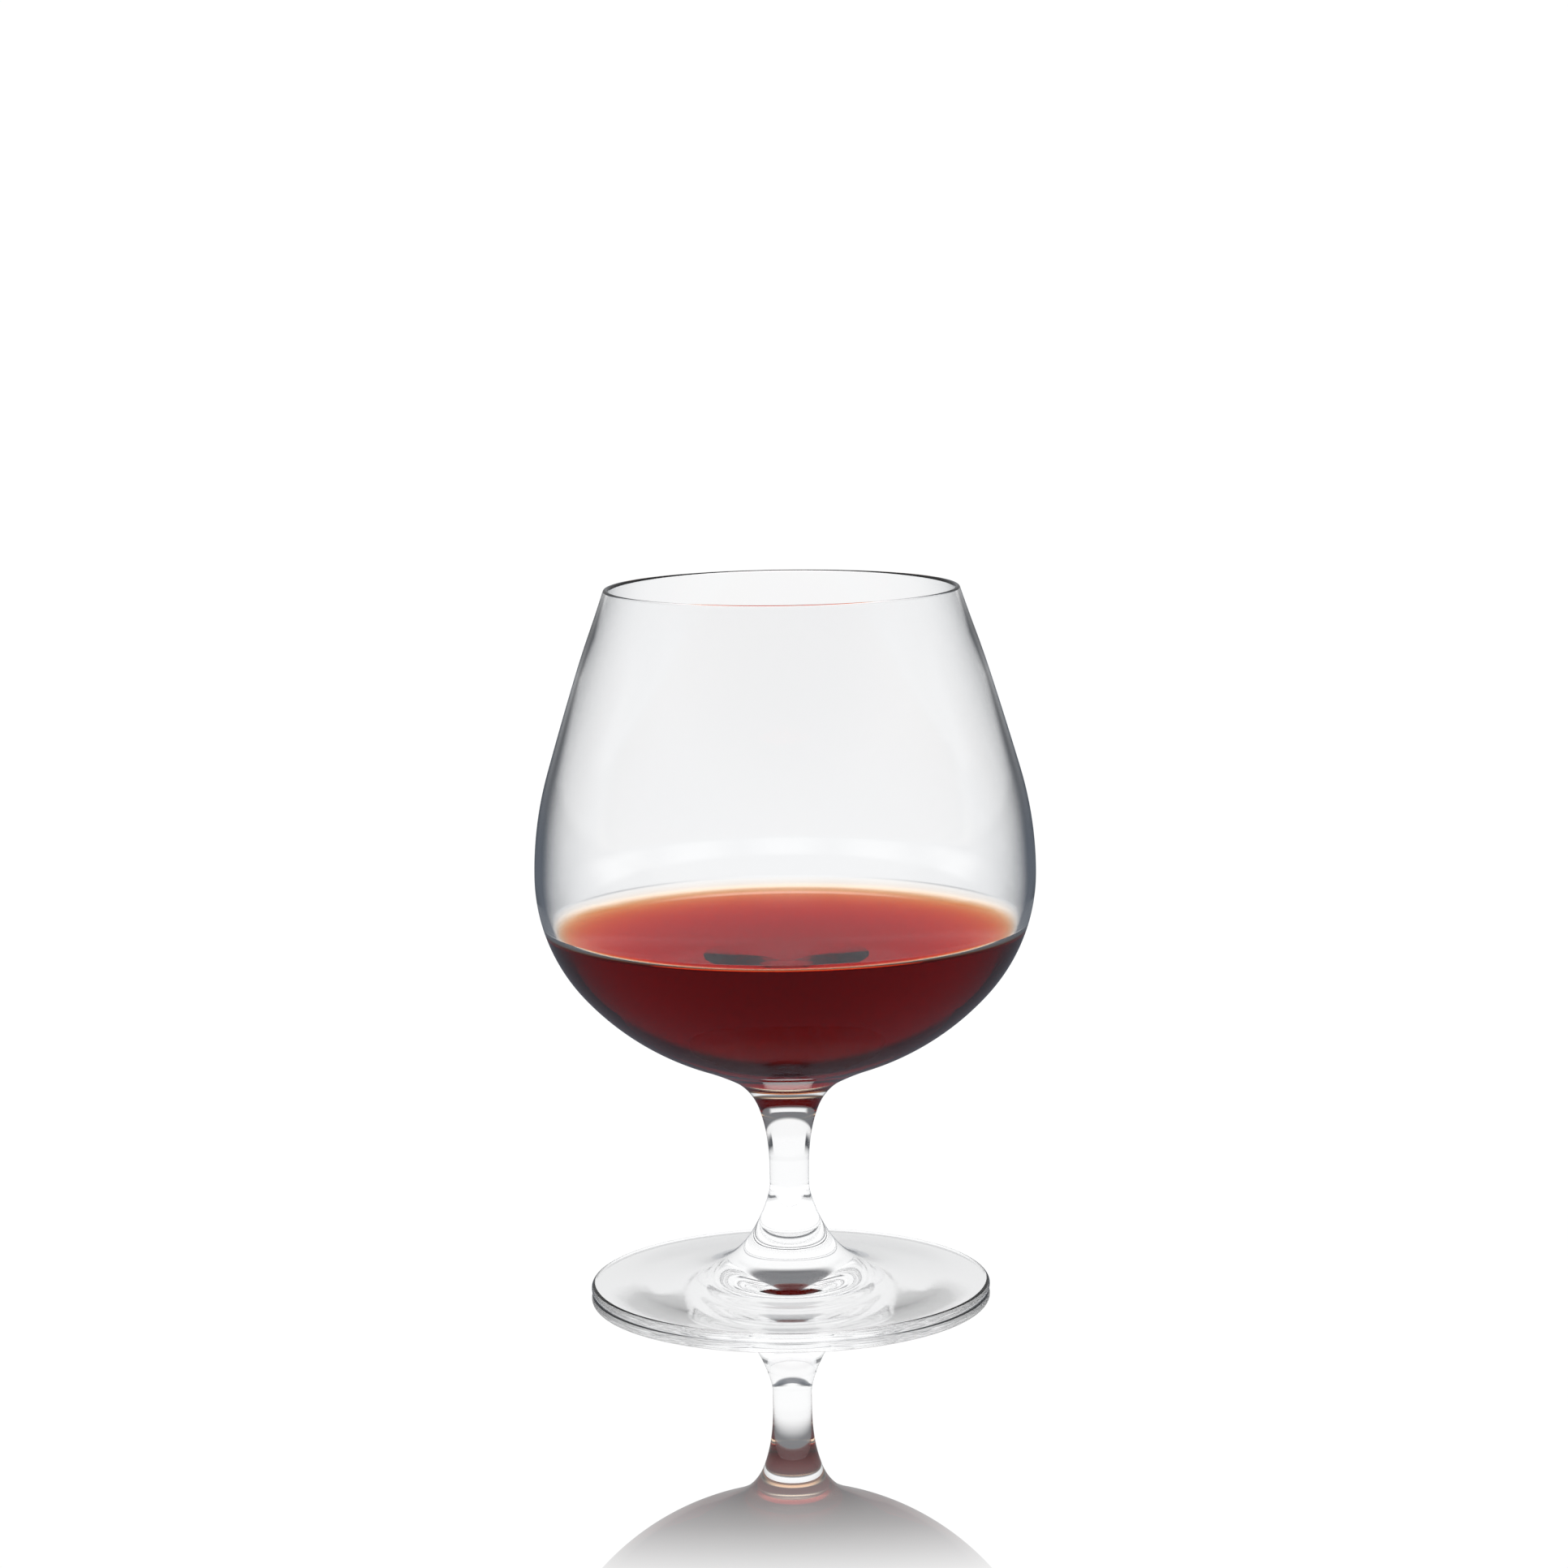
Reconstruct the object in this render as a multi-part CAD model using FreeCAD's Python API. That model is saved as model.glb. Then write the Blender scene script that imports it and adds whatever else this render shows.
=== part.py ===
import FreeCAD, Part
import math
import os

# A short-stemmed brandy glass (snifter) with a measure of brandy in its bowl.
# Millimetres and degrees. The origin is the centre of the foot's resting plane, and +Z is up.

# Overall
HEIGHT = 131.3
FOOT_WELD_HEIGHT = 18.0
BOWL_WELD_HEIGHT = 34.5

# Foot
FOOT_RADIUS = 37.1
FOOT_EDGE_THICKNESS = 1.8
RESTING_RING_WIDTH = 3.0
FOOT_HOLLOW_DEPTH = 1.6

# Stem
WAIST_RADIUS = 3.65
WAIST_HEIGHT = 23.0
FOOT_WELD_RADIUS = 3.95
FOOT_WELD_HEADING = 105.5
BOWL_WELD_RADIUS = 5.5
BOWL_WELD_HEADING = 69.5

# Bowl
BOWL_RADIUS = 46.0
EQUATOR_HEIGHT = 78.7
RIM_RADIUS = 32.5
RIM_THICKNESS = 0.95
RIM_HEADING = 108.5
EQUATOR_WALL = 1.35
SHOULDER_WALL = 1.15
UNDERSIDE_WALL = 2.2
BOWL_FLOOR_HEIGHT = 42.5

# Brandy
BRANDY_LEVEL = 67.0
MENISCUS_RISE = 3.0
MENISCUS_WIDTH = 5.0
MENISCUS_OVERRUN = 1.0

# A turn smaller than this, in radians, counts as none
STRAIGHT = 1e-6

# A station is a place on an outline: (radius, height, heading). The heading is the outline's direction
# there, measured from straight outward (0) towards straight up (90).
UNDERSIDE = (18.0, 43.5, 20.5)
EQUATOR = (BOWL_RADIUS, EQUATOR_HEIGHT, 90.0)
SHOULDER = (37.7, 115.9, 107.7)
WAIST = (WAIST_RADIUS, WAIST_HEIGHT, 90.0)
FOOT_WELD = (FOOT_WELD_RADIUS, FOOT_WELD_HEIGHT, FOOT_WELD_HEADING)
BOWL_WELD = (BOWL_WELD_RADIUS, BOWL_WELD_HEIGHT, BOWL_WELD_HEADING)
FLARE = (14.8, 4.4, -20.0)
APRON = (22.5, 2.8, -6.0)


def point(radius, height):
    """A point on the half plane that is turned about the axis."""
    return FreeCAD.Vector(radius, 0, height)


def direction(heading):
    angle = math.radians(heading)
    return point(math.cos(angle), math.sin(angle))


def inward(station, thickness):
    """The station at the same place on a surface that lies this far inside the wall."""
    radius, height, heading = station
    angle = math.radians(heading)
    return (radius - thickness * math.sin(angle), height + thickness * math.cos(angle), heading)


def tangent_arc(start, heading_vector, end):
    """The edge from start to end that leaves along heading_vector, and the direction in which it arrives."""
    chord = end - start
    across = heading_vector.x * chord.z - heading_vector.z * chord.x
    half_turn = math.atan2(across, heading_vector.dot(chord))
    chord_angle = math.atan2(chord.z, chord.x)
    arrival_angle = chord_angle + half_turn
    arrival = point(math.cos(arrival_angle), math.sin(arrival_angle))
    if abs(half_turn) < STRAIGHT:
        return Part.LineSegment(start, end).toShape(), arrival
    bulge = chord.Length / 2 * math.tan(half_turn / 2)
    side = point(chord.z, -chord.x).normalize()
    middle = (start + end) / 2 + side * bulge
    return Part.Arc(start, middle, end).toShape(), arrival


def two_arcs(first, second):
    """Two arcs that meet smoothly and join two stations, each along its own heading."""
    start, end = point(*first[:2]), point(*second[:2])
    leaving, arriving = direction(first[2]), direction(second[2])
    chord = end - start
    both = leaving + arriving
    spread = 2 * (1 - leaving.dot(arriving))
    if spread < STRAIGHT:
        reach = chord.dot(chord) / (4 * chord.dot(arriving))
    else:
        along = chord.dot(both)
        reach = (math.sqrt(along * along + spread * chord.dot(chord)) - along) / spread
    meeting = (start + end + (leaving - arriving) * reach) / 2
    first_edge, heading_there = tangent_arc(start, leaving, meeting)
    second_edge, _ = tangent_arc(meeting, heading_there, end)
    return [first_edge, second_edge]


def outline(stations):
    edges = []
    for first, second in zip(stations, stations[1:]):
        edges += two_arcs(first, second)
    return edges


def line(start, end):
    return Part.LineSegment(point(*start), point(*end)).toShape()


def turned(edges):
    """The solid that a closed outline makes when it is turned about the glass's axis."""
    wire = Part.Wire(Part.__sortEdges__(edges))
    return Part.Face(wire).revolve(point(0, 0), point(0, 1), 360)


def rim_ends():
    """The outer and inner stations where the wall runs into the rounded rim, and the rim's top point."""
    half = RIM_THICKNESS / 2
    centre_height = HEIGHT - half
    centre_radius = RIM_RADIUS - half
    centre = (centre_radius, centre_height, RIM_HEADING)
    top = point(centre_radius, centre_height) + direction(RIM_HEADING) * half
    return inward(centre, -half), inward(centre, half), top


def inner_stations():
    floor = (0.0, BOWL_FLOOR_HEIGHT, 0.0)
    rim_inner = rim_ends()[1]
    return [
        floor,
        inward(UNDERSIDE, UNDERSIDE_WALL),
        inward(EQUATOR, EQUATOR_WALL),
        inward(SHOULDER, SHOULDER_WALL),
        rim_inner,
    ]


def make_bowl():
    rim_outer, rim_inner, rim_top = rim_ends()
    edges = outline([BOWL_WELD, UNDERSIDE, EQUATOR, SHOULDER, rim_outer])
    edges.append(Part.Arc(point(*rim_outer[:2]), rim_top, point(*rim_inner[:2])).toShape())
    edges += outline(inner_stations())
    edges.append(line((0, BOWL_FLOOR_HEIGHT), (0, BOWL_WELD_HEIGHT)))
    edges.append(line((0, BOWL_WELD_HEIGHT), (BOWL_WELD_RADIUS, BOWL_WELD_HEIGHT)))
    return turned(edges)


def make_stem():
    edges = outline([FOOT_WELD, WAIST, BOWL_WELD])
    edges.append(line((BOWL_WELD_RADIUS, BOWL_WELD_HEIGHT), (0, BOWL_WELD_HEIGHT)))
    edges.append(line((0, BOWL_WELD_HEIGHT), (0, FOOT_WELD_HEIGHT)))
    edges.append(line((0, FOOT_WELD_HEIGHT), (FOOT_WELD_RADIUS, FOOT_WELD_HEIGHT)))
    return turned(edges)


def make_foot():
    half = FOOT_EDGE_THICKNESS / 2
    edge_radius = FOOT_RADIUS - half
    ring_inner = edge_radius - RESTING_RING_WIDTH
    downhill_weld = (FOOT_WELD_RADIUS, FOOT_WELD_HEIGHT, FOOT_WELD_HEADING - 180)
    edge_top = (edge_radius, FOOT_EDGE_THICKNESS, 0.0)
    edges = outline([downhill_weld, FLARE, APRON, edge_top])
    widest = point(FOOT_RADIUS, half)
    edges.append(Part.Arc(point(*edge_top[:2]), widest, point(edge_radius, 0)).toShape())
    edges.append(line((edge_radius, 0), (ring_inner, 0)))
    edges += outline([(ring_inner, 0, 180.0), (0, FOOT_HOLLOW_DEPTH, 180.0)])
    edges.append(line((0, FOOT_HOLLOW_DEPTH), (0, FOOT_WELD_HEIGHT)))
    edges.append(line((0, FOOT_WELD_HEIGHT), (FOOT_WELD_RADIUS, FOOT_WELD_HEIGHT)))
    return turned(edges)


def wall_radius_at(height):
    """The inside radius of the bowl at a height below its equator."""
    level = Part.LineSegment(point(1, height), point(BOWL_RADIUS, height)).toShape()
    wall = Part.Wire(Part.__sortEdges__(outline(inner_stations()[:3])))
    return wall.distToShape(level)[1][0][0].x


def make_brandy():
    """The bowl's hollow up to the liquid's surface, which is flat and climbs the wall in a meniscus."""
    contact_height = BRANDY_LEVEL + MENISCUS_RISE
    contact_radius = wall_radius_at(contact_height)
    flat_radius = contact_radius - MENISCUS_WIDTH
    meniscus, climb = tangent_arc(
        point(flat_radius, BRANDY_LEVEL), direction(0), point(contact_radius, contact_height)
    )
    past_wall = point(contact_radius, contact_height) + climb * MENISCUS_OVERRUN
    bottom = BOWL_FLOOR_HEIGHT - 1
    below_surface = turned(
        [
            line((0, BRANDY_LEVEL), (flat_radius, BRANDY_LEVEL)),
            meniscus,
            line((contact_radius, contact_height), (past_wall.x, past_wall.z)),
            line((past_wall.x, past_wall.z), (past_wall.x, bottom)),
            line((past_wall.x, bottom), (0, bottom)),
            line((0, bottom), (0, BRANDY_LEVEL)),
        ]
    )
    wall = inner_stations()
    top = wall[-1]
    lid = line(top[:2], (0, top[1]))
    axis = line((0, top[1]), (0, BOWL_FLOOR_HEIGHT))
    hollow = turned(outline(wall) + [lid, axis])
    return hollow.common(below_surface)


PARTS = {
    "bowl": make_bowl,
    "stem": make_stem,
    "foot": make_foot,
    "brandy": make_brandy,
}

os.makedirs("parts", exist_ok=True)
for name, make in PARTS.items():
    shape = make()
    solid = shape.Solids[0] if len(shape.Solids) == 1 else shape
    assert solid.isValid() and solid.Volume > 0, name
    solid.exportStep("parts/" + name + ".step")
    box = solid.optimalBoundingBox()
    print(f"{name}: {solid.Volume / 1000:.2f} cm3, z {box.ZMin:.2f} to {box.ZMax:.2f}, radius {box.XMax:.2f}")
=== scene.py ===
import cmath
import math

import bpy
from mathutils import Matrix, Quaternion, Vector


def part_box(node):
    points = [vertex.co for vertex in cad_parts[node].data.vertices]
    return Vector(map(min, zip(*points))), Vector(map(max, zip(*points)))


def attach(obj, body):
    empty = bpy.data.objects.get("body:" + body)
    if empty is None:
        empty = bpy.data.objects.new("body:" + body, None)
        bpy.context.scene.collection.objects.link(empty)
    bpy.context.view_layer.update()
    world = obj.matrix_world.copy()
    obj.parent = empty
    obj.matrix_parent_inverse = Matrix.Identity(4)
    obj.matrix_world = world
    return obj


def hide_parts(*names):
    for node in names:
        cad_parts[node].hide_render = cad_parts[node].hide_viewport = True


# A brandy glass: bowl, stem and foot of clear fused glass, and the brandy in the bowl.
# Outlines are in millimetres in the half plane (radius, height); meshes and the stage are in metres.

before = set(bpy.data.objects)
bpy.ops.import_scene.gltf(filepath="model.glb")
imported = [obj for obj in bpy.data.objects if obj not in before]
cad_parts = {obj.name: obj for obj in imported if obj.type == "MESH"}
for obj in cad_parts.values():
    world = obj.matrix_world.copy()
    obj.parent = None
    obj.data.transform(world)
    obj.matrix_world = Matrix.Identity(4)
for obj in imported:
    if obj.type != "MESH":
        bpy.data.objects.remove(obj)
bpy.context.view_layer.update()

MM = 0.001
BODY = "root"


def node_box(node):
    """Lowest and highest corner of a CAD node, in millimetres."""
    low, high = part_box(node)
    return low / MM, high / MM


_, bowl_high = node_box("bowl")
_, stem_high = node_box("stem")
_, foot_high = node_box("foot")
brandy_low, brandy_high = node_box("brandy")

# Places that the CAD parts give
RIM_HEIGHT = bowl_high.z
BOWL_RADIUS = bowl_high.x
BOWL_WELD_HEIGHT = stem_high.z
BOWL_WELD_RADIUS = stem_high.x
FOOT_WELD_HEIGHT = foot_high.z
FOOT_RADIUS = foot_high.x
FLOOR_OF_BOWL = brandy_low.z
CONTACT_HEIGHT = brandy_high.z

# The rest of the glass's outline, as in the CAD
FOOT_EDGE_THICKNESS = 1.8
RESTING_RING_WIDTH = 3.0
FOOT_HOLLOW_DEPTH = 1.6
RIM_RADIUS = 32.5
RIM_THICKNESS = 0.95
RIM_HEADING = 108.5
EQUATOR_WALL = 1.35
SHOULDER_WALL = 1.15
UNDERSIDE_WALL = 2.2

# Stations of the outline: (radius, height, heading in degrees, 0 outward and 90 up)
UNDERSIDE = (18.0, 43.5, 20.5)
EQUATOR = (BOWL_RADIUS, 78.7, 90.0)
SHOULDER = (37.7, 115.9, 107.7)
BOWL_WELD = (BOWL_WELD_RADIUS, BOWL_WELD_HEIGHT, 69.5)
WAIST = (3.65, 23.0, 90.0)
FOOT_WELD = (3.95, FOOT_WELD_HEIGHT, 105.5)
FLARE = (14.8, 4.4, -20.0)
APRON = (22.5, 2.8, -6.0)

# Fine shape that only the visible pieces have
MENISCUS_RISE = 1.6
MENISCUS_LENGTH = 0.8
WETTING_OVERLAP = 0.3

# Mesh fineness
SEGMENTS = 320
LONGEST_STEP = 1.0
LARGEST_TURN = math.radians(1.0)
SURFACE_RINGS = 60
# How strongly the rings of the brandy's surface crowd towards the wall, where the meniscus climbs
SURFACE_CROWDING = 3
# A turn or a radius smaller than this counts as none
STRAIGHT = 1e-6

# Material slots of a mesh
WALL, WELD_FACE, WET_WALL, BELLY = 0, 1, 2, 3


# ---------------------------------------------------------------- outlines

def spot(radius, height):
    return complex(radius, height)


def arc_samples(start, heading, end):
    """(place, heading) along the arc that leaves start along heading and ends at end."""
    chord = end - start
    half_turn = cmath.phase(chord / cmath.rect(1, heading))
    steps = max(2, math.ceil(abs(chord) / LONGEST_STEP), math.ceil(abs(2 * half_turn) / LARGEST_TURN))
    if abs(half_turn) < STRAIGHT:
        return [(start + chord * k / steps, heading) for k in range(steps + 1)]
    radius = abs(chord) / (2 * math.sin(half_turn))
    samples = []
    for k in range(steps + 1):
        turned = heading + 2 * half_turn * k / steps
        place = start + radius / 1j * (cmath.rect(1, turned) - cmath.rect(1, heading))
        samples.append((place, turned))
    return samples


def two_arcs(first, second):
    """Samples of two arcs that meet smoothly and join two stations."""
    start, end = spot(*first[:2]), spot(*second[:2])
    leaving, arriving = cmath.rect(1, math.radians(first[2])), cmath.rect(1, math.radians(second[2]))
    chord = end - start
    along = (chord * (leaving + arriving).conjugate()).real
    spread = 2 * (1 - (leaving * arriving.conjugate()).real)
    if spread < STRAIGHT:
        reach = abs(chord) ** 2 / (4 * (chord * arriving.conjugate()).real)
    else:
        reach = (math.sqrt(along * along + spread * abs(chord) ** 2) - along) / spread
    meeting = (start + end + (leaving - arriving) * reach) / 2
    samples = arc_samples(start, math.radians(first[2]), meeting)
    return samples + arc_samples(meeting, samples[-1][1], end)[1:]


def outline(stations):
    samples = two_arcs(stations[0], stations[1])
    for first, second in zip(stations[1:], stations[2:]):
        samples += two_arcs(first, second)[1:]
    return samples


def backwards(samples):
    return [(place, heading + math.pi) for place, heading in reversed(samples)]


def cut(samples, height):
    """Samples that climb, cut at a height into those below it and those above, with one at it in both."""
    after = next(k for k, (place, _) in enumerate(samples) if place.imag > height)
    (low_place, low_heading), (high_place, high_heading) = samples[after - 1], samples[after]
    share = (height - low_place.imag) / (high_place.imag - low_place.imag)
    there = (low_place + (high_place - low_place) * share, low_heading + (high_heading - low_heading) * share)
    return samples[:after] + [there], [there] + samples[after:]


def straight(start, end):
    return arc_samples(start, cmath.phase(end - start), end)


def inward(station, thickness):
    """The station at the same place on a surface that lies this far inside the wall."""
    radius, height, heading = station
    angle = math.radians(heading)
    return (radius - thickness * math.sin(angle), height + thickness * math.cos(angle), heading)


def rim_ends():
    """The outer and inner stations where the wall runs into the rounded rim."""
    half = RIM_THICKNESS / 2
    centre = (RIM_RADIUS - half, RIM_HEIGHT - half, RIM_HEADING)
    return inward(centre, -half), inward(centre, half)


def inner_wall(outset=0.0):
    """Stations of the bowl's inside, or of a surface this far within the glass behind it."""
    walls = [
        (0.0, FLOOR_OF_BOWL, 0.0),
        inward(UNDERSIDE, UNDERSIDE_WALL),
        inward(EQUATOR, EQUATOR_WALL),
        inward(SHOULDER, SHOULDER_WALL),
        rim_ends()[1],
    ]
    return [inward(station, -outset) for station in walls]


# ---------------------------------------------------------------- meshes

def lathe(name, runs):
    """A closed mesh turned about the axis from runs of (place, heading) samples.

    The runs go from the axis to the axis with the piece on their left, so each sample's normal points right
    of its heading. Each run is smooth, and runs meet at sharp corners. A run is (samples, material index).
    """
    vertices, faces, face_slots, normals = [], [], [], []
    angles = [2 * math.pi * j / SEGMENTS for j in range(SEGMENTS)]
    directions = [(math.cos(a), math.sin(a)) for a in angles]

    def add_ring(place):
        first = len(vertices)
        if place.real < STRAIGHT:
            vertices.append((0.0, 0.0, place.imag * MM))
            return [first] * SEGMENTS
        for cosine, sine in directions:
            vertices.append((place.real * MM * cosine, place.real * MM * sine, place.imag * MM))
        return list(range(first, first + SEGMENTS))

    def normal(heading, j):
        out, up = math.sin(heading), -math.cos(heading)
        cosine, sine = directions[j % SEGMENTS]
        return (out * cosine, out * sine, up)

    ring = add_ring(runs[0][0][0][0])
    for samples, slot in runs:
        for (_, heading), (next_place, next_heading) in zip(samples, samples[1:]):
            next_ring = add_ring(next_place)
            for j in range(SEGMENTS):
                k = (j + 1) % SEGMENTS
                corners = [
                    (ring[j], heading, j),
                    (ring[k], heading, k),
                    (next_ring[k], next_heading, k),
                    (next_ring[j], next_heading, j),
                ]
                if ring[j] == ring[k]:
                    corners.pop(1)
                if next_ring[j] == next_ring[k]:
                    corners.pop(2)
                faces.append([corner[0] for corner in corners])
                face_slots.append(slot)
                normals += [normal(corner[1], corner[2]) for corner in corners]
            ring = next_ring
    mesh = bpy.data.meshes.new(name)
    mesh.from_pydata(vertices, [], faces)
    mesh.polygons.foreach_set("material_index", face_slots)
    mesh.polygons.foreach_set("use_smooth", [True] * len(faces))
    mesh.normals_split_custom_set(normals)
    piece = bpy.data.objects.new(name, mesh)
    bpy.context.scene.collection.objects.link(piece)
    return piece


def bowl_runs():
    """Up the outside, over the rim and down the inside, which is wet up to where the brandy touches it."""
    rim_outer, rim_inner = rim_ends()
    weld_face = straight(spot(0, BOWL_WELD_HEIGHT), spot(BOWL_WELD_RADIUS, BOWL_WELD_HEIGHT))
    outside = outline([BOWL_WELD, UNDERSIDE, EQUATOR, SHOULDER, rim_outer])
    rim = arc_samples(spot(*rim_outer[:2]), outside[-1][1], spot(*rim_inner[:2]))
    underside, above = cut(outside, FLOOR_OF_BOWL)
    belly, above = cut(above, CONTACT_HEIGHT)
    wet, dry = cut(outline(inner_wall()), CONTACT_HEIGHT)
    return [
        (weld_face, WELD_FACE),
        (underside, WALL),
        (belly, BELLY),
        (above + rim[1:] + backwards(dry)[1:], WALL),
        (backwards(wet), WET_WALL),
    ]


def stem_runs():
    foot_weld_radius = FOOT_WELD[0]
    lower_face = straight(spot(0, FOOT_WELD_HEIGHT), spot(foot_weld_radius, FOOT_WELD_HEIGHT))
    upper_face = straight(spot(BOWL_WELD_RADIUS, BOWL_WELD_HEIGHT), spot(0, BOWL_WELD_HEIGHT))
    side = outline([FOOT_WELD, WAIST, BOWL_WELD])
    return [(lower_face, WELD_FACE), (side, WALL), (upper_face, WELD_FACE)]


def foot_runs():
    """Out along the hollow and the ring that the glass rests on, round the edge, and in up the flare."""
    half = FOOT_EDGE_THICKNESS / 2
    edge_radius = FOOT_RADIUS - half
    ring_radius = edge_radius - RESTING_RING_WIDTH
    hollow = outline([(0.0, FOOT_HOLLOW_DEPTH, 0.0), (ring_radius, 0.0, 0.0)])
    ring = straight(spot(ring_radius, 0), spot(edge_radius, 0))
    top_of_edge = (edge_radius, FOOT_EDGE_THICKNESS, 180.0)
    edge = outline([(edge_radius, 0.0, 0.0), (FOOT_RADIUS, half, 90.0), top_of_edge])
    downhill_weld = (FOOT_WELD[0], FOOT_WELD_HEIGHT, FOOT_WELD[2] - 180)
    top = backwards(outline([downhill_weld, FLARE, APRON, (edge_radius, FOOT_EDGE_THICKNESS, 0.0)]))
    weld_face = straight(spot(FOOT_WELD[0], FOOT_WELD_HEIGHT), spot(0, FOOT_WELD_HEIGHT))
    return [(hollow + ring[1:] + edge[1:] + top[1:], WALL), (weld_face, WELD_FACE)]


def brandy_runs():
    """The wet wall, a little way into the glass so that no air shows, and the surface with its meniscus."""
    level = CONTACT_HEIGHT - MENISCUS_RISE
    wall, _ = cut(outline(inner_wall(WETTING_OVERLAP)), CONTACT_HEIGHT)
    contact_radius = wall[-1][0].real
    surface = []
    for k in range(SURFACE_RINGS + 1):
        radius = contact_radius * (1 - (1 - k / SURFACE_RINGS) ** SURFACE_CROWDING)
        climb = MENISCUS_RISE * math.exp((radius - contact_radius) / MENISCUS_LENGTH)
        surface.append((spot(radius, level + climb), math.atan2(climb, MENISCUS_LENGTH)))
    return [(wall, WALL), (backwards(surface), WALL)]


# ---------------------------------------------------------------- materials

def new_material(name):
    material = bpy.data.materials.new(name)
    material.use_nodes = True
    nodes = material.node_tree.nodes
    nodes.clear()
    output = nodes.new("ShaderNodeOutputMaterial")
    return material, nodes, material.node_tree.links, output


def math_node(nodes, links, operation, first, second=None):
    node = nodes.new("ShaderNodeMath")
    node.operation = operation
    for socket, value in zip(node.inputs, (first, second)):
        if isinstance(value, (int, float)):
            socket.default_value = value
        elif value is not None:
            links.new(value, socket)
    return node.outputs["Value"]


def times(nodes, links, *factors):
    product = factors[0]
    for factor in factors[1:]:
        product = math_node(nodes, links, "MULTIPLY", product, factor)
    return product


def rest_of(nodes, links, share):
    return math_node(nodes, links, "SUBTRACT", 1.0, share)


def rise(nodes, links, value, start, end, low=0.0, high=1.0, kind="SMOOTHSTEP"):
    """A change from low to high as the value goes from start to end."""
    node = nodes.new("ShaderNodeMapRange")
    node.interpolation_type = kind
    links.new(value, node.inputs["Value"])
    for socket, number in (("From Min", start), ("From Max", end), ("To Min", low), ("To Max", high)):
        node.inputs[socket].default_value = number
    return node.outputs["Result"]


def fall(nodes, links, value, start, end):
    """A smooth change from 1 to 0 as the value goes from start to end."""
    return rise(nodes, links, value, start, end, 1.0, 0.0)


def mix_colours(nodes, links, share, first, second):
    mix = nodes.new("ShaderNodeMix")
    mix.data_type = "RGBA"
    links.new(share, mix.inputs["Factor"])
    for socket, value in ((mix.inputs[6], first), (mix.inputs[7], second)):
        if isinstance(value, tuple):
            socket.default_value = value
        else:
            links.new(value, socket)
    return mix.outputs[2]


def noise(nodes, links, scale, detail):
    """Noise over the object's own space, with a scale in cycles per metre."""
    place = nodes.new("ShaderNodeTexCoord")
    pattern = nodes.new("ShaderNodeTexNoise")
    pattern.inputs["Scale"].default_value = scale
    pattern.inputs["Detail"].default_value = detail
    links.new(place.outputs["Object"], pattern.inputs["Vector"])
    return pattern.outputs["Fac"]


def uneven_tint(nodes, links, tint, scale):
    """A colour that wanders between a tint and none."""
    ramp = nodes.new("ShaderNodeValToRGB")
    ramp.color_ramp.elements[0].color = tint
    ramp.color_ramp.elements[1].color = (1, 1, 1, 1)
    links.new(noise(nodes, links, scale, TINT_DETAIL), ramp.inputs["Fac"])
    return ramp.outputs["Color"]


GLASS_IOR = 1.52
BRANDY_IOR = 1.36
# Nearly 1: light goes straight through a surface of this index
NO_BENDING = 1.001

GLASS_TINT = (0.985, 0.992, 1.0, 1)
BRANDY_TINT = (1.0, 0.97, 0.94, 1)
GLASS_TINT_SCALE = 30
BRANDY_TINT_SCALE = 40
TINT_DETAIL = 2

# The brandy takes away (1 - colour) times the density, per metre, of each of red, green and blue
BRANDY_COLOUR = (0.92, 0.49, 0.05, 1)
BRANDY_DENSITY = 400.0

# A shade over the roughness at which the renderer takes a surface for a perfect mirror
CLEAN_ROUGHNESS = 0.03
HANDLED_ROUGHNESS = 0.04
HANDLING_SCALE = 60
HANDLING_DETAIL = 4
HANDLING_EDGE = (0.55, 0.8)

# Waviness that blowing leaves in the bowl's wall
WAVE_SCALE = 45
WAVE_DETAIL = 1
WAVE_HEIGHT = 0.000005

# What is dark around the glass, and a near-black tint that paints shade into the colour of the stem and foot
# where the bowl mirrors them, dimming the lit table seen through them to that dark
UNLIT_COLOUR = (0.11, 0.125, 0.15, 1)
PAINTED_SHADE_TINT = (0.007, 0.009, 0.013, 1)

# How far from upright a face of the brandy must lean to count as its open surface, as a share of its normal
SURFACE_LEAN = 0.01


def mirrored_in_glass(nodes, links, from_within):
    """1 for light that glass has mirrored onto the outside of a piece, and 0 for all other light."""
    rays = nodes.new("ShaderNodeLightPath")
    outside = math_node(nodes, links, "SUBTRACT", rays.outputs["Is Reflection Ray"], from_within)
    not_in_table = math_node(nodes, links, "SUBTRACT", outside, rays.outputs["Is Singular Ray"])
    return math_node(nodes, links, "MAXIMUM", not_in_table, 0.0)


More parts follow.
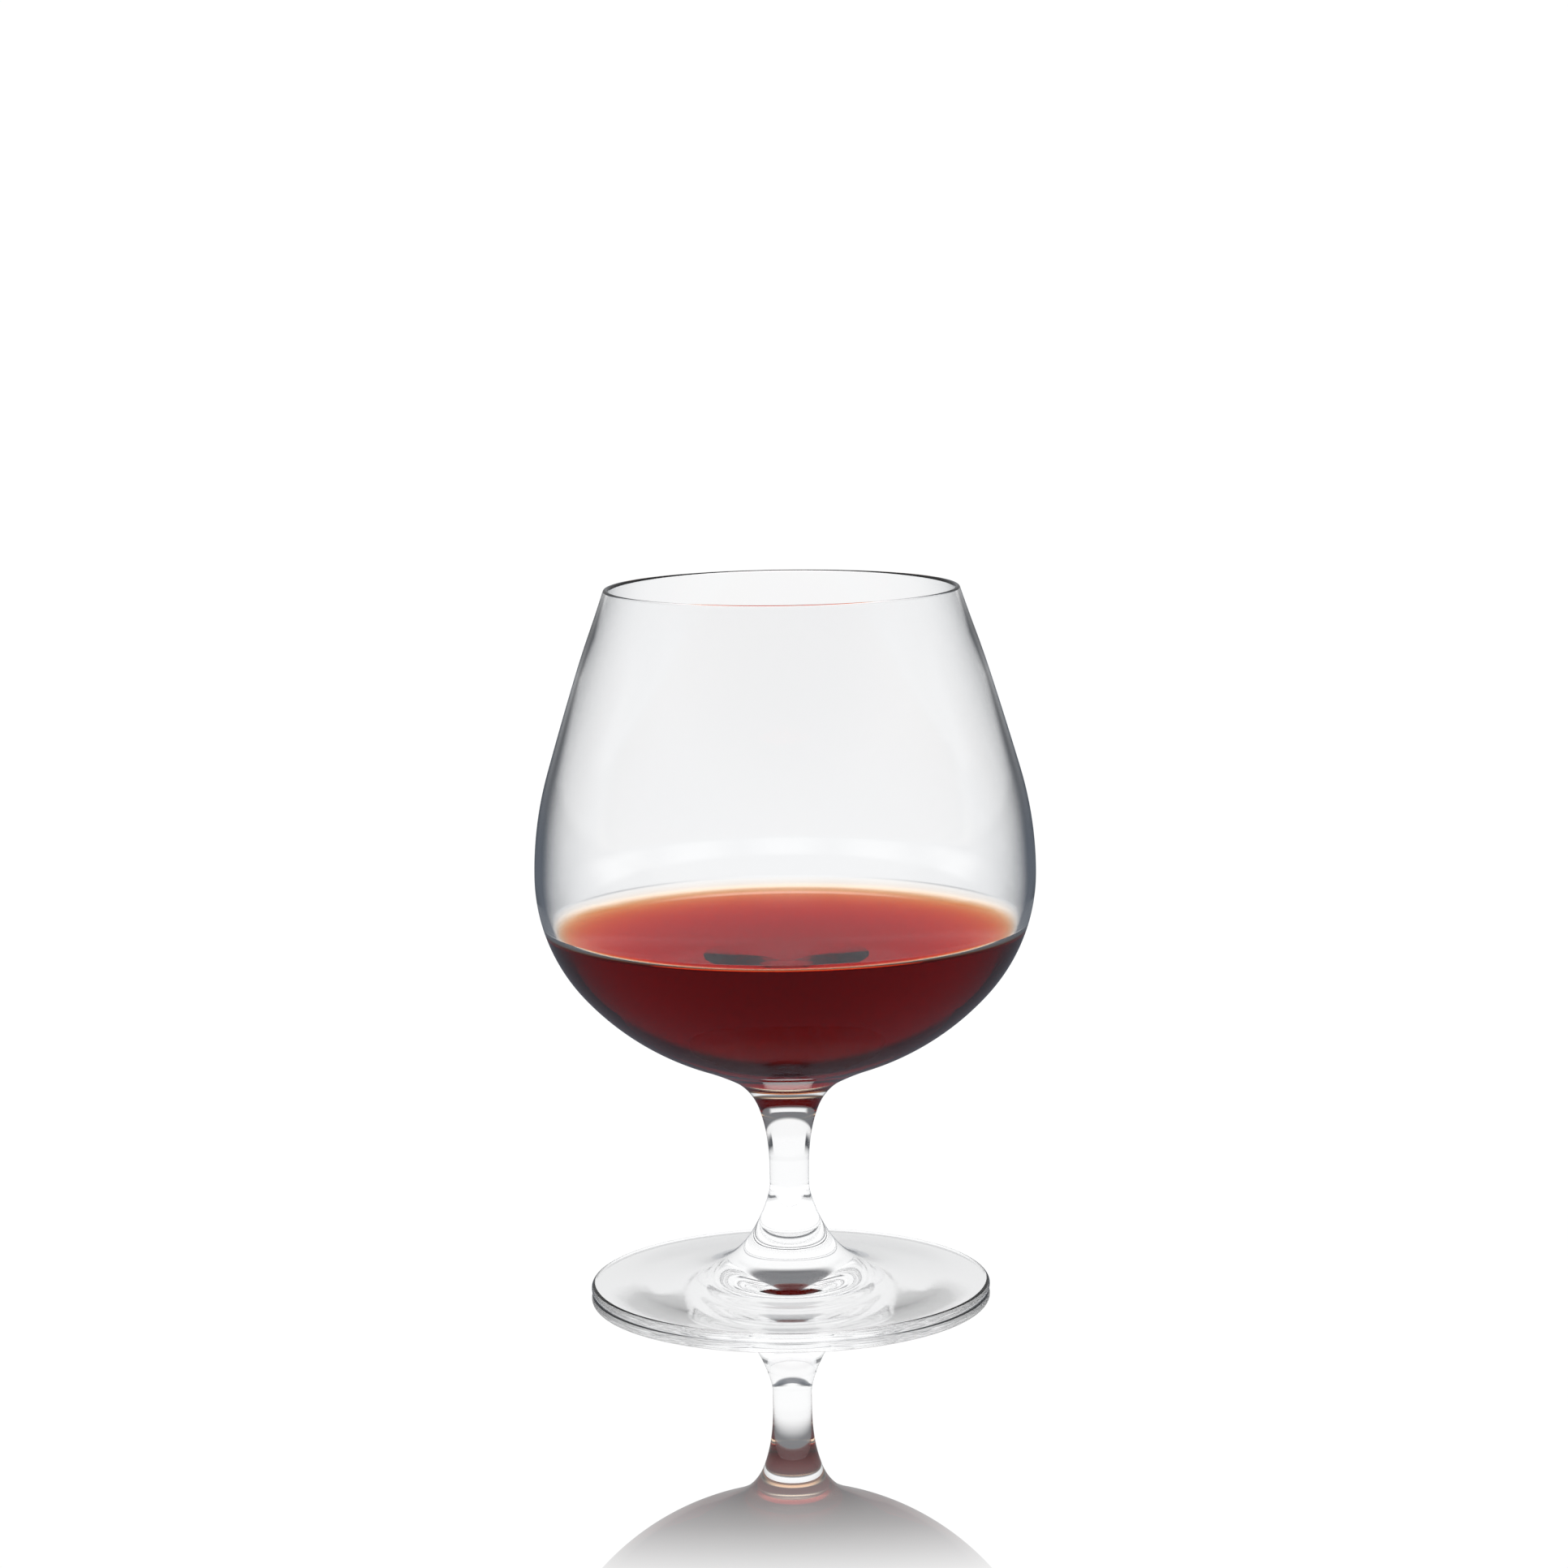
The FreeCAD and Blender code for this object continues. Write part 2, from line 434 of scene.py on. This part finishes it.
def glass_material(name, ior=GLASS_IOR, ior_from_within=None, wavy=True, painted_shade_in_mirrors=False):
    """Clear soda-lime glass: a faint uneven tint, slight waviness from forming, and a trace of handling.

    ior_from_within is the index that light leaving the glass meets, where it differs from ior. Glass with
    painted_shade_in_mirrors gets painted shade: its colour turns to a near-black tint where the bowl mirrors
    it, though not where the table does.
    """
    material, nodes, links, output = new_material(name)
    geometry = nodes.new("ShaderNodeNewGeometry")
    from_within = geometry.outputs["Backfacing"]
    shader = nodes.new("ShaderNodeBsdfPrincipled")
    shader.inputs["Transmission Weight"].default_value = 1.0
    shader.inputs["IOR"].default_value = ior
    if ior_from_within:
        links.new(rise(nodes, links, from_within, 0.0, 1.0, ior, ior_from_within), shader.inputs["IOR"])
    colour = uneven_tint(nodes, links, GLASS_TINT, GLASS_TINT_SCALE)
    # Painted shade: the glass's colour turns to a near-black tint where the bowl mirrors it
    if painted_shade_in_mirrors:
        painted_shade = mirrored_in_glass(nodes, links, from_within)
        colour = mix_colours(nodes, links, painted_shade, colour, PAINTED_SHADE_TINT)
    links.new(colour, shader.inputs["Base Color"])
    handling = noise(nodes, links, HANDLING_SCALE, HANDLING_DETAIL)
    roughness = rise(nodes, links, handling, *HANDLING_EDGE, CLEAN_ROUGHNESS, HANDLED_ROUGHNESS, "LINEAR")
    links.new(roughness, shader.inputs["Roughness"])
    if wavy:
        bump = nodes.new("ShaderNodeBump")
        bump.inputs["Strength"].default_value = 1.0
        bump.inputs["Distance"].default_value = WAVE_HEIGHT
        links.new(noise(nodes, links, WAVE_SCALE, WAVE_DETAIL), bump.inputs["Height"])
        links.new(bump.outputs["Normal"], shader.inputs["Normal"])
    links.new(shader.outputs["BSDF"], output.inputs["Surface"])
    return material


def weld_material():
    """The faces inside a weld, where the glass is one and light goes straight on."""
    material, nodes, links, output = new_material("weld_interior")
    through = nodes.new("ShaderNodeBsdfTransparent")
    links.new(through.outputs["BSDF"], output.inputs["Surface"])
    return material


def open_surface_only(nodes, links, elsewhere, there):
    """One number on faces whose outside looks down or sideways, and another on those that look up."""
    geometry = nodes.new("ShaderNodeNewGeometry")
    parts = nodes.new("ShaderNodeSeparateXYZ")
    links.new(geometry.outputs["True Normal"], parts.inputs["Vector"])
    both_ways = times(nodes, links, geometry.outputs["Backfacing"], 2.0)
    upward = times(nodes, links, parts.outputs["Z"], rest_of(nodes, links, both_ways))
    return rise(nodes, links, upward, -SURFACE_LEAN, SURFACE_LEAN, elsewhere, there, "LINEAR")


def brandy_material():
    """A clear red-brown spirit. Only its open surface bends light, because its wall is inside the glass."""
    material, nodes, links, output = new_material("brandy_liquid")
    shader = nodes.new("ShaderNodeBsdfPrincipled")
    shader.inputs["Transmission Weight"].default_value = 1.0
    shader.inputs["IOR"].default_value = BRANDY_IOR
    links.new(open_surface_only(nodes, links, NO_BENDING, BRANDY_IOR), shader.inputs["IOR"])
    shader.inputs["Roughness"].default_value = CLEAN_ROUGHNESS
    links.new(uneven_tint(nodes, links, BRANDY_TINT, BRANDY_TINT_SCALE), shader.inputs["Base Color"])
    links.new(shader.outputs["BSDF"], output.inputs["Surface"])
    absorption = nodes.new("ShaderNodeVolumeAbsorption")
    absorption.inputs["Color"].default_value = BRANDY_COLOUR
    absorption.inputs["Density"].default_value = BRANDY_DENSITY
    links.new(absorption.outputs["Volume"], output.inputs["Volume"])
    return material


# ---------------------------------------------------------------- the glass

weld = weld_material()
bowl_glass = glass_material("bowl_glass")
belly_glass = glass_material("bowl_glass_belly", ior_from_within=NO_BENDING)
wet_glass = glass_material("bowl_glass_wetted", ior=GLASS_IOR / BRANDY_IOR)
stem_glass = glass_material("stem_glass", wavy=False, painted_shade_in_mirrors=True)
foot_glass = glass_material("foot_glass", wavy=False, painted_shade_in_mirrors=True)

PIECES = [
    ("glass_bowl", "bowl", "bowl_glass", bowl_runs, [bowl_glass, weld, wet_glass, belly_glass]),
    ("glass_stem", "stem", "stem_glass", stem_runs, [stem_glass, weld]),
    ("glass_foot", "foot", "foot_glass", foot_runs, [foot_glass, weld]),
    ("brandy_in_bowl", "brandy", "brandy", brandy_runs, [brandy_material()]),
]

for piece_name, node, slot_name, make_runs, materials in PIECES:
    piece = lathe(piece_name, make_runs())
    for material in materials:
        piece.data.materials.append(material)
    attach(piece, BODY)
    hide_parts(node)


# ---------------------------------------------------------------- the stage

# The table and the studio look one way to the camera, another through the glass and another mirrored in it,
# which no real table or studio does. It stands for lamps and cards that are set by hand for one picture. The
# rules go by what the light has met on its way, by its direction, and by the slant at which it meets the table.

TABLE_RADIUS = 0.6
TABLE_RINGS = 4
TABLE_SIDES = 96
# The table lies this far below the foot, so that their faces don't fight
TABLE_DROP = 0.00002
GLOW = 1.02

# How much of the table's look, straight from the camera, is a mirror, by distance from the glass
MIRROR_SHARES = [(0.0, 0.97), (0.1, 0.97), (0.12, 0.8), (0.135, 0.6), (0.15, 0.32), (0.168, 0.0)]
# How much of the table the glass itself sees glow, by distance; further off it sees the studio
TABLE_GLOW_SHARES = [(0.0, 1.0), (0.16, 1.0), (0.32, 0.0)]
# How much of the table stays dark for light that the glass has mirrored
UNLIT_SHARES = [(0.0, 0.0), (0.15, 0.0), (0.2, 0.85)]
# How far light must come to the table for the dark under the bowl to count
BOWL_TO_TABLE = (0.028, 0.034)
# How far from square on the table is seen, 0 to 1, where its lamps dim and where its mirror starts to show
LAMP_SLANT = (0.45, 0.65)
LAMP_GLOW = 1.3
MIRROR_SLANT = (0.57, 0.65)

# Light that has been mirrored more than this has been mirrored once at least
MIRRORED = 0.5
# Light that has crossed fewer glass surfaces than this has met one piece of glass, and not both bowl walls
ONE_PIECE = 2.5


def by_distance(nodes, links, distance, stops):
    """A share that changes evenly with distance between (distance, share) stops."""
    ramp = nodes.new("ShaderNodeValToRGB")
    elements = ramp.color_ramp.elements
    while len(elements) < len(stops):
        elements.new(0.5)
    for element, (radius, value) in zip(elements, stops):
        element.position = radius / TABLE_RADIUS
        element.color = (value, value, value, 1)
    links.new(math_node(nodes, links, "DIVIDE", distance, TABLE_RADIUS), ramp.inputs["Fac"])
    return ramp.outputs["Color"]


def mix_shaders(nodes, links, share, first, second):
    mix = nodes.new("ShaderNodeMixShader")
    links.new(share, mix.inputs["Fac"])
    links.new(first, mix.inputs[1])
    links.new(second, mix.inputs[2])
    return mix.outputs["Shader"]


def emission(nodes, strength=1.0, colour=(1, 1, 1, 1)):
    lamp = nodes.new("ShaderNodeEmission")
    lamp.inputs["Strength"].default_value = strength
    lamp.inputs["Color"].default_value = colour
    return lamp


def table_dark_share(nodes, links, distance, slant):
    """How much of the table is unlit for light that reaches it by way of the glass."""
    rays = nodes.new("ShaderNodeLightPath")
    mirrored = math_node(nodes, links, "GREATER_THAN", rays.outputs["Glossy Depth"], MIRRORED)
    far = by_distance(nodes, links, distance, UNLIT_SHARES)
    steep = fall(nodes, links, slant, *LAMP_SLANT)
    from_bowl = rise(nodes, links, rays.outputs["Ray Length"], *BOWL_TO_TABLE)
    steep = times(nodes, links, steep, from_bowl)
    dark = times(nodes, links, mirrored, math_node(nodes, links, "MAXIMUM", far, steep))
    return math_node(nodes, links, "MAXIMUM", dark, rays.outputs["Is Reflection Ray"])


def table_material():
    """White glass lit from below: a mirror close to the glass that fades to plain white."""
    material, nodes, links, output = new_material("light_table")
    place = nodes.new("ShaderNodeTexCoord")
    length = nodes.new("ShaderNodeVectorMath")
    length.operation = "LENGTH"
    links.new(place.outputs["Object"], length.inputs[0])
    distance = length.outputs["Value"]
    layer = nodes.new("ShaderNodeLayerWeight")
    layer.inputs["Blend"].default_value = 0.5
    slant = layer.outputs["Facing"]

    glow = emission(nodes, GLOW)
    mirror = nodes.new("ShaderNodeBsdfGlossy")
    mirror.inputs["Color"].default_value = (1, 1, 1, 1)
    mirror.inputs["Roughness"].default_value = 0.0
    mirror_share = by_distance(nodes, links, distance, MIRROR_SHARES)
    mirror_share = times(nodes, links, mirror_share, rise(nodes, links, slant, *MIRROR_SLANT))
    to_camera = mix_shaders(nodes, links, mirror_share, glow.outputs["Emission"], mirror.outputs["BSDF"])

    lamp = emission(nodes)
    links.new(rise(nodes, links, slant, *LAMP_SLANT, LAMP_GLOW, GLOW), lamp.inputs["Strength"])
    open_air = nodes.new("ShaderNodeBsdfTransparent")
    glow_share = by_distance(nodes, links, distance, TABLE_GLOW_SHARES)
    lit = mix_shaders(nodes, links, glow_share, open_air.outputs["BSDF"], lamp.outputs["Emission"])
    unlit = emission(nodes, colour=UNLIT_COLOUR)
    dark = table_dark_share(nodes, links, distance, slant)
    to_glass = mix_shaders(nodes, links, dark, lit, unlit.outputs["Emission"])

    rays = nodes.new("ShaderNodeLightPath")
    surface = mix_shaders(nodes, links, rays.outputs["Is Camera Ray"], to_glass, to_camera)
    links.new(surface, output.inputs["Surface"])
    return material


def make_table():
    vertices = [(0.0, 0.0, 0.0)]
    faces = []
    for ring in range(TABLE_RINGS):
        radius = TABLE_RADIUS * (ring + 1) / TABLE_RINGS
        for j in range(TABLE_SIDES):
            angle = 2 * math.pi * j / TABLE_SIDES
            vertices.append((radius * math.cos(angle), radius * math.sin(angle), 0.0))
    for j in range(TABLE_SIDES):
        k = (j + 1) % TABLE_SIDES
        faces.append((0, 1 + j, 1 + k))
        for ring in range(TABLE_RINGS - 1):
            near, far = 1 + ring * TABLE_SIDES, 1 + (ring + 1) * TABLE_SIDES
            faces.append((near + j, far + j, far + k, near + k))
    mesh = bpy.data.meshes.new("table")
    mesh.from_pydata(vertices, [], faces)
    table = bpy.data.objects.new("table", mesh)
    bpy.context.scene.collection.objects.link(table)
    mesh.materials.append(table_material())
    table.location.z = -TABLE_DROP


# White screens stand all round the table, with an upright dark card between each two. Over them is a dark
# gap, over the screen behind the glass a strip light, and over that a dim ceiling. All in degrees: a pair is
# where a change starts and ends, in elevation or in azimuth from straight behind the glass.
SCREEN_SPACING = 45.0
CARD_EDGE = (4.0, 23.0)
CARD_FOOT = (-17.0, -9.0)
# A wide card stands behind the others, from the screen behind the glass out to here
WIDE_CARD_END = (60.0, 75.0)
# From here on the cards are grey instead of black
GREY_FROM = (32.0, 60.0)
# The stem, the foot and a single wall of the bowl see one low card on each side instead
SOLID_CARD_EDGE = (37.0, 41.0)
SOLID_CARD_END = (100.0, 115.0)
SOLID_CARD_TOP = (-3.0, 3.0)
GAP_EDGE = (5.5, 8.0)
STRIP_EDGE = (12.5, 14.5)
STRIP_END = (24.0, 34.0)
CEILING_EDGE = (20.0, 30.0)
BLACK_CARD = (0.035, 0.039, 0.048, 1)
GREY_CARD = (0.4, 0.41, 0.43, 1)
GAP_COLOUR = (0.2, 0.205, 0.215, 1)
SCREEN_COLOUR = (GLOW, GLOW, GLOW, 1)
# What the outside of the glass mirrors
ROOM_COLOUR = (0.28, 0.283, 0.288, 1)
ROOM_EDGE = (-8.0, 0.0)
# Where mirrored light counts as going down, and how much of it then meets the dark
DOWNWARD_EDGE = (-2.0, 2.0)
UNLIT_EDGE = (-8.0, -2.0)
UNLIT_SHARE = 0.85


def sky_angles(nodes, links):
    """Elevation over the horizon, and azimuth from straight behind the glass."""
    place = nodes.new("ShaderNodeTexCoord")
    parts = nodes.new("ShaderNodeSeparateXYZ")
    links.new(place.outputs["Generated"], parts.inputs["Vector"])
    elevation = math_node(nodes, links, "ARCSINE", parts.outputs["Z"])
    azimuth = math_node(nodes, links, "ARCTAN2", parts.outputs["X"], parts.outputs["Y"])
    return math_node(nodes, links, "DEGREES", elevation), math_node(nodes, links, "DEGREES", azimuth)


def light_history(nodes, links, rays, elevation):
    """Shares of light that was mirrored, that was mirrored in one piece of glass, and that met one at most.

    The last leaves out light that was mirrored in one piece and then goes down.
    """
    echo = math_node(nodes, links, "GREATER_THAN", rays.outputs["Glossy Depth"], MIRRORED)
    one_piece = math_node(nodes, links, "LESS_THAN", rays.outputs["Transmission Depth"], ONE_PIECE)
    bounced = times(nodes, links, one_piece, echo)
    bounced_down = times(nodes, links, bounced, fall(nodes, links, elevation, *DOWNWARD_EDGE))
    solid = math_node(nodes, links, "SUBTRACT", one_piece, bounced_down)
    return echo, bounced, solid


def screens_and_cards(nodes, links, elevation, azimuth, solid):
    away = math_node(nodes, links, "ABSOLUTE", azimuth)
    hollow = rest_of(nodes, links, solid)
    off_screen = math_node(nodes, links, "PINGPONG", azimuth, SCREEN_SPACING / 2)
    narrow = rise(nodes, links, off_screen, *CARD_EDGE)
    wide = times(nodes, links, rise(nodes, links, away, *CARD_EDGE), fall(nodes, links, away, *WIDE_CARD_END))
    beside_hollow = times(nodes, links, math_node(nodes, links, "MAXIMUM", narrow, wide), hollow)
    side = rise(nodes, links, away, *SOLID_CARD_EDGE)
    side = times(nodes, links, side, fall(nodes, links, away, *SOLID_CARD_END))
    beside_solid = times(nodes, links, side, solid, fall(nodes, links, elevation, *SOLID_CARD_TOP))
    beside = math_node(nodes, links, "ADD", beside_hollow, beside_solid)
    card = times(nodes, links, beside, rise(nodes, links, elevation, *CARD_FOOT))
    grey = times(nodes, links, rise(nodes, links, away, *GREY_FROM), hollow)
    card_colour = mix_colours(nodes, links, grey, BLACK_CARD, GREY_CARD)
    return mix_colours(nodes, links, card, SCREEN_COLOUR, card_colour)


def overhead_share(nodes, links, elevation, azimuth, echo, bounced):
    """How much of the studio is the dark gap or the ceiling. The strip light is a break in the gap."""
    away = math_node(nodes, links, "ABSOLUTE", azimuth)
    strip = rise(nodes, links, elevation, *STRIP_EDGE)
    strip = times(nodes, links, strip, fall(nodes, links, away, *STRIP_END), rest_of(nodes, links, echo))
    gap = math_node(nodes, links, "SUBTRACT", rise(nodes, links, elevation, *GAP_EDGE), strip)
    gap = times(nodes, links, gap, rest_of(nodes, links, bounced))
    return math_node(nodes, links, "MAXIMUM", gap, rise(nodes, links, elevation, *CEILING_EDGE))


def studio():
    world = bpy.data.worlds.new("studio")
    world.use_nodes = True
    world.cycles.sampling_method = "NONE"
    bpy.context.scene.world = world
    nodes, links = world.node_tree.nodes, world.node_tree.links
    nodes.clear()
    output = nodes.new("ShaderNodeOutputWorld")
    background = nodes.new("ShaderNodeBackground")
    rays = nodes.new("ShaderNodeLightPath")
    elevation, azimuth = sky_angles(nodes, links)
    echo, bounced, solid = light_history(nodes, links, rays, elevation)

    walls = screens_and_cards(nodes, links, elevation, azimuth, solid)
    overhead = overhead_share(nodes, links, elevation, azimuth, echo, bounced)
    through_glass = mix_colours(nodes, links, overhead, walls, GAP_COLOUR)
    below = rise(nodes, links, elevation, *UNLIT_EDGE, UNLIT_SHARE, 0.0)
    through_glass = mix_colours(nodes, links, times(nodes, links, echo, below), through_glass, UNLIT_COLOUR)

    room = mix_colours(nodes, links, rise(nodes, links, elevation, *ROOM_EDGE), UNLIT_COLOUR, ROOM_COLOUR)
    seen = mix_colours(nodes, links, rays.outputs["Is Reflection Ray"], through_glass, room)

    in_table = times(nodes, links, rays.outputs["Is Reflection Ray"], rays.outputs["Is Singular Ray"])
    plain = math_node(nodes, links, "MAXIMUM", rays.outputs["Is Camera Ray"], in_table)
    colour = mix_colours(nodes, links, plain, seen, SCREEN_COLOUR)
    links.new(colour, background.inputs["Color"])
    links.new(background.outputs["Background"], output.inputs["Surface"])


# A long lens a little above the rim, looking slightly down, as for a catalogue picture
LENS = 93.29
SENSOR_WIDTH = 36.0
CAMERA_PLACE = (0.0, -0.73575, 0.20597)
CAMERA_PITCH = math.radians(8.575)
CAMERA_ROLL = math.radians(0.785)
NEAREST_SEEN = 0.01
FARTHEST_SEEN = 20.0


def make_camera():
    data = bpy.data.cameras.new("camera")
    data.lens = LENS
    data.sensor_width = SENSOR_WIDTH
    data.clip_start = NEAREST_SEEN
    data.clip_end = FARTHEST_SEEN
    camera = bpy.data.objects.new("camera", data)
    bpy.context.scene.collection.objects.link(camera)
    camera.location = CAMERA_PLACE
    camera.rotation_mode = "QUATERNION"
    look = Quaternion((1, 0, 0), math.radians(90) - CAMERA_PITCH)
    camera.rotation_quaternion = look @ Quaternion((0, 0, 1), -CAMERA_ROLL)
    bpy.context.scene.camera = camera


make_table()
studio()
make_camera()

scene = bpy.context.scene
scene.view_settings.view_transform = "Standard"
scene.view_settings.look = "None"
scene.cycles.max_bounces = 32
scene.cycles.transmission_bounces = 32
scene.cycles.glossy_bounces = 16
scene.cycles.transparent_max_bounces = 32
scene.cycles.caustics_reflective = True
scene.cycles.caustics_refractive = True
scene.cycles.sample_clamp_indirect = 0.0
scene.cycles.use_denoising = True
